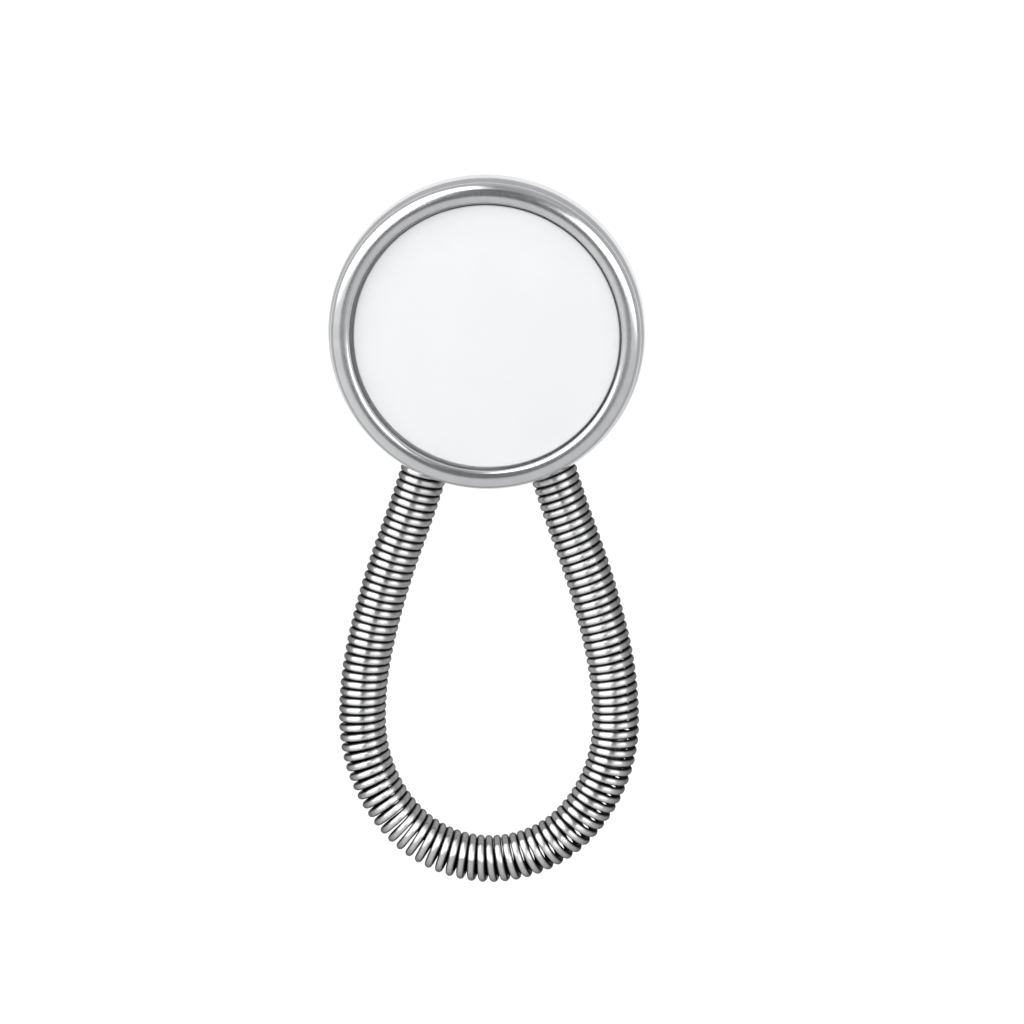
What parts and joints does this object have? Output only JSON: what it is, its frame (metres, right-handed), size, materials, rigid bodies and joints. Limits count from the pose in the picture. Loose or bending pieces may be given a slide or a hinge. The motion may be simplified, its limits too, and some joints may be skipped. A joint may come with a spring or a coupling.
{
  "type": "collar button extender",
  "caption": "Round white-faced chrome stud button with a closed loop of close-wound spring round its post; the loop swivels, flexes and stretches to lengthen a shirt collar.",
  "frame": {"origin": "on the post's axis, at the flat back of the rear flange", "axes": "+Z out of the button's white face, the loop points to -Y, +X to the right when the face is looked at with the loop hanging down"},
  "size_m": [0.011, 0.0255, 0.0037],
  "materials": {
    "cap_chrome": "polished",
    "face_white": "satin",
    "pad_board": "matte",
    "plate_steel": "satin",
    "rivet_steel": "satin",
    "spring_chrome": "polished"
  },
  "bodies": {
    "button": {"bezel_cap": "cap_chrome", "face_disc": "face_white", "backing_pad": "pad_board", "closing_plate": "plate_steel", "post_rivet": "rivet_steel", "back_flange": "cap_chrome"},
    "loop_root": {"coil_wrap": "spring_chrome", "left_neck": "spring_chrome", "right_neck": "spring_chrome"},
    "loop_upper": {"left_limb_upper": "spring_chrome", "right_limb_upper": "spring_chrome"},
    "loop_lower": {"left_limb_lower": "spring_chrome", "right_limb_lower": "spring_chrome", "left_shoulder": "spring_chrome", "right_shoulder": "spring_chrome", "spring_nib": "rivet_steel"},
    "loop_tip": {"coil_bend": "spring_chrome"}
  },
  "joints": [
    {"name": "loop_swivel", "type": "hinge", "parent": "button", "child": "loop_root", "pos_m": [0, 0, 0.00133], "axis": [0, 0, 1], "continuous": true},
    {"name": "loop_flex", "type": "hinge", "parent": "loop_root", "child": "loop_upper", "pos_m": [0, -0.0069, 0.00133], "axis": [-1, 0, 0], "range_deg": [-35, 35], "stiffness_Nm_per_rad": 0.002, "deforming": ["left_neck", "right_neck"]},
    {"name": "loop_stretch", "type": "slide", "parent": "loop_upper", "child": "loop_lower", "axis": [0, -1, 0], "range_m": [0, 0.006], "stiffness_N_per_m": 600},
    {"name": "tip_flex", "type": "hinge", "parent": "loop_lower", "child": "loop_tip", "pos_m": [0, -0.0177, 0.00133], "axis": [-1, 0, 0], "range_deg": [-28, 28], "deforming": ["left_shoulder", "right_shoulder"]}
  ],
  "couplings": [
    {"joint": "tip_flex", "follows": "loop_flex", "ratio": 0.8}
  ]
}
